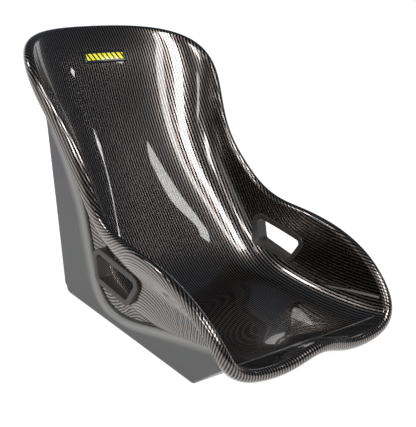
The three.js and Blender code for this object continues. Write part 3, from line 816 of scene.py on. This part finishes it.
def slot_outline(grow, corner_steps=8):
    """The slot's opening with round corners, moved outwards, as (y, z) points."""
    corners = np.array(SLOT_CORNERS, float)
    outline = []
    for k, corner in enumerate(corners):
        before = unit(corners[k - 1] - corner)
        after = unit(corners[(k + 1) % 4] - corner)
        half = math.acos(before @ after) / 2
        inward = unit(before + after)
        centre = corner + inward * SLOT_CORNER_RADIUS / math.sin(half)
        turn = math.pi / 2 - half
        start = math.atan2(-inward[1], -inward[0])
        for f in np.linspace(-1, 1, corner_steps + 1):
            angle = start + f * turn
            spoke = np.array([math.cos(angle), math.sin(angle)])
            outline.append(centre + spoke * (SLOT_CORNER_RADIUS + grow))
    return np.array(outline)


def slot_cutter(side):
    """The shape that cuts one side's harness slot."""
    outline = slot_outline(SLOT_CLEARANCE)
    near, far = ([(side * x, y, z) for y, z in outline] for x in SLOT_CUT)
    return make_prism("slot_cutter", near, far)


class SEAT_OT_front_shell(bpy.types.Operator):
    """Build the carbon front shell with its rolled rim and harness slots."""

    bl_idname = "seat.front_shell"
    bl_label = "Front Shell"

    def execute(self, context):
        detail = context.scene.seat_detail
        points, faces, cloth = shell_mesh(detail.cells_across, detail.cells_along)
        shell = make_object("carbon_front_shell", points, faces, cloth)
        cut(shell, [slot_cutter(1), slot_cutter(-1)])
        place(shell, carbon_material(context.scene.seat_look), "carbon_gloss", "front_shell")
        return {"FINISHED"}


# ---------------------------------------------------------------- rear casing

def casing_back(x, z):
    """Depth (y) of the casing's back: a leaning face that swells to clear the backrest."""
    lean = BASE_REAR + REAR_LEAN * z
    clear = backrest_depth(x, z) + REAR_CLEARANCE
    return (lean + clear + np.sqrt((lean - clear) ** 2 + REAR_BLEND**2)) / 2


def rear_outline(fall, x):
    """The casing's back, from its shaped top edge down to the base fillet."""
    shape = np.minimum(np.abs(x) / CASING_HALF_WIDTH, 1) ** REAR_TOP_SHAPE
    top = REAR_TOP_MIDDLE + (REAR_TOP_SIDE - REAR_TOP_MIDDLE) * shape
    z = top + (BASE_REAR_RADIUS - top) * fall
    return np.stack([casing_back(x, z), z], axis=-1)


def fillet_outline(turn, x):
    """The rounded edge between the casing's back and its base."""
    y = BASE_REAR - BASE_REAR_RADIUS * (1 - np.cos(turn)) + 0 * x
    return np.stack([y, BASE_REAR_RADIUS * (1 - np.sin(turn)) + 0 * x], axis=-1)


BASE_START = BASE_REAR - BASE_REAR_RADIUS
BASE_END = BASE_FRONT + BASE_FRONT_RADIUS * math.tan(FRONT_LEAN / 2)


def base_outline(share_done, x):
    """The flat base, from its rear to its front."""
    y = BASE_START + (BASE_END - BASE_START) * share_done + 0 * x
    return np.stack([y, 0 * y], axis=-1)


def nose_outline(turn, x):
    """The rounded edge between the base and the sloping front."""
    y = BASE_END - BASE_FRONT_RADIUS * np.sin(turn) + 0 * x
    return np.stack([y, BASE_FRONT_RADIUS * (1 - np.cos(turn)) + 0 * x], axis=-1)


def slope_point(run):
    """A place on the sloping front, a way up it."""
    start_y = BASE_END - BASE_FRONT_RADIUS * math.sin(FRONT_LEAN)
    start_z = BASE_FRONT_RADIUS * (1 - math.cos(FRONT_LEAN))
    return np.stack([start_y - run * math.cos(FRONT_LEAN), start_z + run * math.sin(FRONT_LEAN)],
                    axis=-1)


def slope_run(x):
    """How far up the slope the front reaches before it is inside the shell's wall."""
    def is_below(run):
        y, z = np.moveaxis(slope_point(run), -1, 0)
        return z < pan_height(x, y) - SHELL_WALL / 2

    return halve(np.zeros(x.shape), np.full(x.shape, float(FRONT_REACH)), is_below, rounds=12)


def front_outline(share_done, x):
    """The sloping front, from the base up to the shell."""
    places = np.linspace(0, CASING_HALF_WIDTH, SLOPE_PLACES)
    run = np.interp(np.abs(x), places, slope_run(places))
    return slope_point(run * share_done)


def half_rows(outline, stops, edges):
    """Half rows of one stretch: from the middle over the corner and the flat side to the side's
    rounded edge, and in along a flange to the shell's wall."""
    start = outline(stops, np.full(stops.shape, float(CASING_HALF_WIDTH)))
    width = np.linalg.norm(edges - start, axis=1)
    to_edge = (edges - start) / width[:, None]
    corner = np.minimum(CASING_CORNER, CORNER_SHARE * width)[:, None]
    round_edge = np.minimum(SIDE_EDGE_ROUND, EDGE_SHARE * width)[:, None]
    width = width[:, None]

    def on_side(distance):
        return start[:, None] + to_edge[:, None] * distance[..., None]

    def side_x(distance):
        return casing_side(on_side(distance)[..., 1])

    def join(x, yz):
        return np.concatenate([x[..., None], yz], axis=-1)

    flat_x = side_x(corner) - corner
    f = np.linspace(0, 1, MIDDLE_COLUMNS)
    x = flat_x * (1 - (1 - f) ** COLUMN_CROWDING)
    yz = outline(stops[:, None] + 0 * x, x)
    parts = [join(x, yz + (start[:, None] - yz) * (f**CORNER_PULL)[:, None])]
    a = steps_to(math.pi / 2, CORNER_COLUMNS)
    parts.append(join(flat_x + corner * np.sin(a), on_side(corner * (1 - np.cos(a)))))
    distance = corner + (width - corner - round_edge) * steps_to(1, SIDE_COLUMNS)
    parts.append(join(side_x(distance), on_side(distance)))
    a = steps_to(math.pi / 2, EDGE_COLUMNS)
    distance = width - round_edge * (1 - np.sin(a))
    x = side_x(distance) - SIDE_EDGE_STEP * (1 - np.cos(a))
    parts.append(join(x, on_side(distance)))
    edge_x = x[:, -1:]
    wall = side_wall_x(edges[:, 0], edges[:, 1])[:, None] + SHELL_WALL / 2
    f = steps_to(1, FLANGE_COLUMNS)
    x = edge_x + (np.minimum(edge_x - 1, wall) - edge_x) * f
    parts.append(join(x, np.broadcast_to(edges[:, None], x.shape + (2,))))
    return np.concatenate(parts, axis=1)


# The column, counted from the middle, where the side's rounded edge starts.
EDGE_START = MIDDLE_COLUMNS + CORNER_COLUMNS + SIDE_COLUMNS - 1


def casing_stretches():
    """The casing's rows: the outline, its stops, and the edge points they run to, for its back,
    rear fillet, base, front fillet and sloping front."""
    fall = np.linspace(0, 1, BACK_ROWS)
    yield rear_outline, fall, smooth_point(SIDE_EDGE_REAR, fall * REAR_FILLET_SHARE)
    f = steps_to(1, FILLET_ROWS)
    t = REAR_FILLET_SHARE + (1 - REAR_FILLET_SHARE) * f
    yield fillet_outline, f * math.pi / 2, smooth_point(SIDE_EDGE_REAR, t)
    f = steps_to(1, BASE_ROWS)
    yield base_outline, f, smooth_point(SIDE_EDGE_FRONT, BASE_SHARE * f)
    nose_share = BASE_SHARE + (1 - BASE_SHARE) / 5
    f = steps_to(1, NOSE_ROWS)
    t = BASE_SHARE + (nose_share - BASE_SHARE) * f
    yield nose_outline, f * FRONT_LEAN, smooth_point(SIDE_EDGE_FRONT, t)
    f = steps_to(1, SLOPE_ROWS)
    t = nose_share + (1 - nose_share) * f
    yield front_outline, f, smooth_point(SIDE_EDGE_FRONT, t)


def casing_mesh():
    """Points, faces and surface coordinates of the casing: one wall, thick all over. The first
    coordinate is 1 on the side's rounded edge and 0 away from it, and places the painted
    highlight."""
    halves = np.concatenate([half_rows(*stretch) for stretch in casing_stretches()])
    surface = np.concatenate([mirror_points(halves[:, :0:-1]), halves], axis=1)
    down = np.gradient(surface, axis=0)
    side = np.gradient(surface, axis=1)
    inward = unit(np.cross(down, side))
    inner = surface + inward * CASING_WALL
    rows, columns = surface.shape[:2]
    outer_numbers = np.arange(rows * columns).reshape(rows, columns)
    inner_numbers = outer_numbers + rows * columns
    faces = slab_faces(outer_numbers, inner_numbers)
    from_middle = np.abs(np.arange(columns) - columns // 2)
    # The mask for the casing's painted highlight along the rounded edge.
    edge = np.interp(from_middle, [EDGE_START - 3, EDGE_START + 4], [0, 1])
    coordinates = np.stack(np.broadcast_arrays(edge, np.zeros((rows, 1))), axis=-1).reshape(-1, 2)
    points = np.concatenate([surface.reshape(-1, 3), inner.reshape(-1, 3)])
    return points, faces, np.concatenate([coordinates, coordinates])


def insert_cutter(x, y):
    """The shape that cuts one insert's hole in the base."""
    angles = np.linspace(0, math.tau, INSERT_SIDES, endpoint=False)
    radius = INSERT_RADIUS + FIT_GAP
    circle = [(x + radius * math.cos(a), y + radius * math.sin(a)) for a in angles]
    near, far = ([(*spot, z) for spot in circle] for z in INSERT_CUT)
    return make_prism("insert_cutter", near, far)


class SEAT_OT_rear_casing(bpy.types.Operator):
    """Build the glass-fibre casing with its flat sides, base and back."""

    bl_idname = "seat.rear_casing"
    bl_label = "Rear Casing"

    def execute(self, context):
        points, faces, coordinates = casing_mesh()
        casing = make_object("casing_moulding", points, faces, coordinates)
        cut(casing, [insert_cutter(x, y) for x in (-INSERT_X, INSERT_X) for y in INSERT_ROWS])
        place(casing, casing_material(context.scene.seat_look), "casing_satin", "rear_casing")
        return {"FINISHED"}


# ---------------------------------------------------------------- bezels and seals

def rounded_profile(corners, radii, steps=5):
    """A closed outline with rounded corners, each with its own radius."""
    corners = [np.array(c, float) for c in corners]
    points = []
    for k, (corner, radius) in enumerate(zip(corners, radii)):
        if radius == 0:
            points.append(corner)
            continue
        before = unit(corners[k - 1] - corner)
        after = unit(corners[(k + 1) % len(corners)] - corner)
        half = math.acos(np.clip(before @ after, -1, 1)) / 2
        start = corner + before * radius / math.tan(half)
        end = corner + after * radius / math.tan(half)
        for f in np.linspace(0, 1, steps + 1):
            points.append((1 - f) ** 2 * start + 2 * f * (1 - f) * corner + f * f * end)
    return points


def bezel_mesh(profile, face_x):
    """Sweeps a profile round the slot. Its points are (outwards, below the face, over the wall):
    each is as far below the face as it says, but stays that far over the inner face's wall."""
    rings = np.stack([densify(slot_outline(outwards, BEZEL_CORNER_STEPS))
                      for outwards, _, _ in profile])
    below = np.array([point[1] for point in profile])[:, None]
    over = np.array([point[2] for point in profile])[:, None]
    wall = side_wall_x(rings[..., 0], rings[..., 1])
    x = wall + over if face_x is None else np.maximum(face_x - below, wall + over)
    rows = np.concatenate([x[..., None], rings], axis=-1)
    count, length = rows.shape[:2]
    numbers = (np.arange(count + 1) % count)[:, None] * length + np.arange(length + 1) % length
    return rows.reshape(-1, 3), grid_faces(numbers)


def densify(ring):
    """Adds points to the long sides of a ring, the same number whatever the ring's size."""
    after = np.roll(ring, -1, axis=0)
    base = slot_outline(0, BEZEL_CORNER_STEPS)
    lengths = np.linalg.norm(np.roll(base, -1, axis=0) - base, axis=1)
    points = []
    for start, end, length in zip(ring, after, lengths):
        steps = max(1, int(math.ceil(length / BEZEL_STEP)))
        points += [start + (end - start) * k / steps for k in range(steps)]
    return np.array(points)


class SEAT_OT_bezels(bpy.types.Operator):
    """Build the outer and inner bezels of both harness slots."""

    bl_idname = "seat.bezels"
    bl_label = "Slot Bezels"

    def execute(self, context):
        detail = context.scene.seat_detail
        material = bezel_material(context.scene.seat_look)
        width = detail.bezel_width / METRE
        deep = BEZEL_FACE_X
        liner = SLOT_CLEARANCE - FIT_GAP
        face = rounded_profile([(width, deep), (width, 0), (0, 0), (0, deep)],
                               [0, BEZEL_ROUND, BEZEL_ROUND, 0])
        outer = [(g, d, SHELL_WALL / 2 if g > liner else 0) for g, d in face]
        outer += [(liner, deep, 0), (liner, deep, SHELL_WALL / 2)]
        depth = detail.bezel_inner_height / METRE
        inner = rounded_profile(
            [(0, -FIT_GAP), (0, -depth), (width, -depth), (width, -FIT_GAP)],
            [BEZEL_FOOT_ROUND, BEZEL_INNER_ROUND, BEZEL_INNER_ROUND, BEZEL_FOOT_ROUND])
        inner = [(g, 0, over) for g, over in inner]
        for kind, profile, face_x in (("outer", outer, BEZEL_FACE_X), ("inner", inner, None)):
            points, faces = bezel_mesh(profile, face_x)
            for hand, placed in (("left", points), ("right", mirror_points(points))):
                bezel = make_object(f"slot_bezel_{kind}_{hand}", placed, faces)
                place(bezel, material, "bezel_plastic", f"harness_bezel_{kind}_{hand}")
        return {"FINISHED"}


class SEAT_OT_seals(bpy.types.Operator):
    """Lay the seal bead along the casing's edge on both sides."""

    bl_idname = "seat.seals"
    bl_label = "Seal Beads"

    def execute(self, context):
        radius = context.scene.seat_detail.bead_radius / METRE
        material = sealant_material()
        rear = smooth_point(SIDE_EDGE_REAR, np.linspace(*SEAL_REAR))
        front = smooth_point(SIDE_EDGE_FRONT, np.linspace(*SEAL_FRONT))
        line = np.concatenate([rear, front])
        run = unit(np.gradient(line, axis=0))
        aside = np.column_stack([run[:, 1], -run[:, 0]])
        line = line + aside * (radius + 3 * FIT_GAP)
        x = casing_side(line[:, 1]) - SIDE_EDGE_STEP - radius / 2
        angles = np.linspace(0, math.tau, SEAL_SIDES, endpoint=False)
        for side, hand in ((1, "left"), (-1, "right")):
            rings = np.stack([np.column_stack([
                side * (x + radius * math.cos(a)),
                line + aside * radius * math.sin(a),
            ]) for a in angles], axis=1)
            count, sides = rings.shape[:2]
            numbers = np.arange(count)[:, None] * sides + np.arange(sides + 1) % sides
            faces = grid_faces(numbers)
            faces += [list(range(sides)), list(range((count - 1) * sides, count * sides))]
            bead = make_object(f"seal_bead_{hand}", rings.reshape(-1, 3), faces)
            place(bead, material, "sealant", f"casing_seal_{hand}")
        return {"FINISHED"}


class SEAT_OT_badge(bpy.types.Operator):
    """Fix the badge plate to the backrest."""

    bl_idname = "seat.badge"
    bl_label = "Badge Plate"

    def execute(self, context):
        detail = context.scene.seat_detail
        station = detail.badge_station
        middle = seat_point(0.0, station)
        nudge = 0.01
        per_across = np.linalg.norm(seat_point(nudge, station) - middle) / nudge
        per_along = np.linalg.norm(seat_point(0.0, station + nudge) - middle) / nudge
        half_across = detail.badge_width / METRE / 2 / per_across
        half_along = detail.badge_height / METRE / 2 / per_along
        columns, rows = BADGE_CELLS
        i, j = np.meshgrid(np.linspace(0, 1, columns + 1), np.linspace(0, 1, rows + 1),
                           indexing="ij")
        across = (2 * i - 1) * half_across
        along = station + (2 * j - 1) * half_along
        face = seat_point(across, along)
        normal = seat_normal(across, along)
        edge = np.minimum(np.minimum(i, 1 - i) * columns, np.minimum(j, 1 - j) * rows)
        lift = np.where(edge == 0, BADGE_EDGE_THICKNESS, BADGE_THICKNESS)
        front = face - normal * (FIT_GAP + lift)[..., None]
        back = face - normal * FIT_GAP
        count = face[..., 0].size
        front_numbers = np.arange(count).reshape(face.shape[:2])
        back_numbers = front_numbers + count
        faces = slab_faces(front_numbers, back_numbers)
        places = np.tile(np.stack([i, j], axis=-1).reshape(-1, 2), (2, 1))
        points = np.concatenate([front.reshape(-1, 3), back.reshape(-1, 3)])
        badge = make_object("back_badge", points, faces, places)
        place(badge, badge_material(context.scene.seat_look), "badge_enamel", "badge_plate")
        return {"FINISHED"}


class SEAT_OT_fixings(bpy.types.Operator):
    """Give the mounting plates and threaded inserts their metals."""

    bl_idname = "seat.fixings"
    bl_label = "Floor Fixings"

    def execute(self, context):
        alloy = metal_material("plate_alloy", (0.62, 0.63, 0.64), 0.35, 0.5)
        steel = metal_material("insert_steel", (0.55, 0.54, 0.52), 0.25, 0.42)
        for name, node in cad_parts.items():
            if name.startswith(("mounting_plate", "threaded_insert")):
                node.data.materials.clear()
                node.data.materials.append(alloy if name.startswith("mounting") else steel)
        return {"FINISHED"}


# ---------------------------------------------------------------- stage

CAMERA_PLACE = (-1.3358, -1.1994, 0.9385)
CAMERA_TURN = (67.06, -9.69, -42.84)
CAMERA_LENS = 90.6
CAMERA_SENSOR = 36.0
LIGHT_CENTRE = (0.10, 0.20, 0.15)
LIGHT_DISTANCE = 3.0
FLOOR_RADIUS = 10.0
FLOOR_BEND = 2.0
FLOOR_SIDES = 96
FLOOR_BEND_STEPS = 12
FLOOR_DROP = 0.0005
WALL_HEIGHT = 3.2
WORLD_COLOUR = (0.75, 0.85, 1)
WORLD_STRENGTH = 0.12
# Each soft box's name, its azimuth, elevation, width and height in degrees, and its brightness.
SOFT_BOXES = (
    ("front_box_wide", -96, 57, 21, 22, 17),
    ("front_box_narrow", -67.5, 57, 10, 22, 10),
    ("front_box_low", -35, 47.2, 9, 2.2, 9),
    ("right_strip", -158, 51, 12, 3, 9),
    ("side_box", -155, 35, 24, 7, 16),
    ("rear_side_box", 142, 38, 16, 8, 18),
    ("left_strip", -20.5, 36.3, 2.5, 1.6, 12),
)


def soft_box(name, azimuth, elevation, width, height, brightness):
    """A soft box out in a direction from the seat, its place and its sizes given as angles."""
    azimuth, elevation, width, height = (math.radians(a) for a in
                                         (azimuth, elevation, width, height))
    direction = Vector((math.cos(elevation) * math.cos(azimuth),
                        math.cos(elevation) * math.sin(azimuth), math.sin(elevation)))
    data = bpy.data.lights.new(name, "AREA")
    data.shape = "RECTANGLE"
    data.size = LIGHT_DISTANCE * math.cos(elevation) * width
    data.size_y = LIGHT_DISTANCE * height
    data.energy = math.pi * data.size * data.size_y * brightness
    light = bpy.data.objects.new(name, data)
    light.location = Vector(LIGHT_CENTRE) + direction * LIGHT_DISTANCE
    light.rotation_euler = direction.to_track_quat("Z", "Y").to_euler()
    bpy.context.scene.collection.objects.link(light)


class SEAT_OT_stage(bpy.types.Operator):
    """Set the pale floor, the studio light and the camera."""

    bl_idname = "seat.stage"
    bl_label = "Studio Stage"

    def execute(self, context):
        scene = context.scene
        turn = np.linspace(0, math.tau, FLOOR_SIDES, endpoint=False)
        bend = np.linspace(0, math.pi / 2, FLOOR_BEND_STEPS + 1)
        radius = np.concatenate([FLOOR_RADIUS + FLOOR_BEND * np.sin(bend),
                                 [FLOOR_RADIUS + FLOOR_BEND]])
        height = np.concatenate([FLOOR_BEND * (1 - np.cos(bend)), [WALL_HEIGHT]])
        ring = np.stack([np.cos(turn), np.sin(turn)], axis=-1)
        points = [(r * x, r * y, h) for r, h in zip(radius, height) for x, y in ring]
        numbers = np.arange(len(points)).reshape(len(radius), len(ring))
        faces = grid_faces(np.concatenate([numbers, numbers[:, :1]], axis=1), True)
        mesh = bpy.data.meshes.new("studio_floor")
        mesh.from_pydata(points, [], faces + [tuple(range(len(ring)))])
        for face in mesh.polygons:
            face.use_smooth = len(face.vertices) == 4
        floor = bpy.data.objects.new("studio_floor", mesh)
        floor.location.z = -FLOOR_DROP
        floor.data.materials.append(floor_material())
        scene.collection.objects.link(floor)

        world = bpy.data.worlds.new("studio_world")
        world.use_nodes = True
        background = world.node_tree.nodes["Background"]
        background.inputs["Color"].default_value = (*WORLD_COLOUR, 1)
        background.inputs["Strength"].default_value = WORLD_STRENGTH
        scene.world = world
        for box in SOFT_BOXES:
            soft_box(*box)

        camera_data = bpy.data.cameras.new("seat_camera")
        camera_data.lens = CAMERA_LENS
        camera_data.sensor_width = CAMERA_SENSOR
        camera = bpy.data.objects.new("seat_camera", camera_data)
        camera.location = CAMERA_PLACE
        camera.rotation_euler = [math.radians(a) for a in CAMERA_TURN]
        scene.collection.objects.link(camera)
        scene.camera = camera
        scene.view_settings.view_transform = "Standard"
        return {"FINISHED"}


class SEAT_PT_panel(bpy.types.Panel):
    """The seat's settings and the pieces it builds."""

    bl_idname = "SEAT_PT_panel"
    bl_label = "Carbon Bucket Seat"
    bl_space_type = "VIEW_3D"
    bl_region_type = "UI"
    bl_category = "Seat"

    def draw(self, context):
        for settings in (context.scene.seat_look, context.scene.seat_detail):
            box = self.layout.box()
            for name in settings.__annotations__:
                box.prop(settings, name)
        for operator in OPERATORS:
            self.layout.operator(operator.bl_idname)


OPERATORS = (
    SEAT_OT_stage,
    SEAT_OT_front_shell,
    SEAT_OT_rear_casing,
    SEAT_OT_bezels,
    SEAT_OT_seals,
    SEAT_OT_badge,
    SEAT_OT_fixings,
)
CLASSES = (SeatLook, SeatDetail, *OPERATORS, SEAT_PT_panel)


def register():
    for item in CLASSES:
        bpy.utils.register_class(item)
    bpy.types.Scene.seat_look = bpy.props.PointerProperty(type=SeatLook)
    bpy.types.Scene.seat_detail = bpy.props.PointerProperty(type=SeatDetail)


def unregister():
    del bpy.types.Scene.seat_detail
    del bpy.types.Scene.seat_look
    for item in reversed(CLASSES):
        bpy.utils.unregister_class(item)


def main():
    register()
    bpy.ops.seat.stage()
    bpy.ops.seat.front_shell()
    bpy.ops.seat.rear_casing()
    bpy.ops.seat.bezels()
    bpy.ops.seat.seals()
    bpy.ops.seat.badge()
    bpy.ops.seat.fixings()


if __name__ == "__main__":
    main()
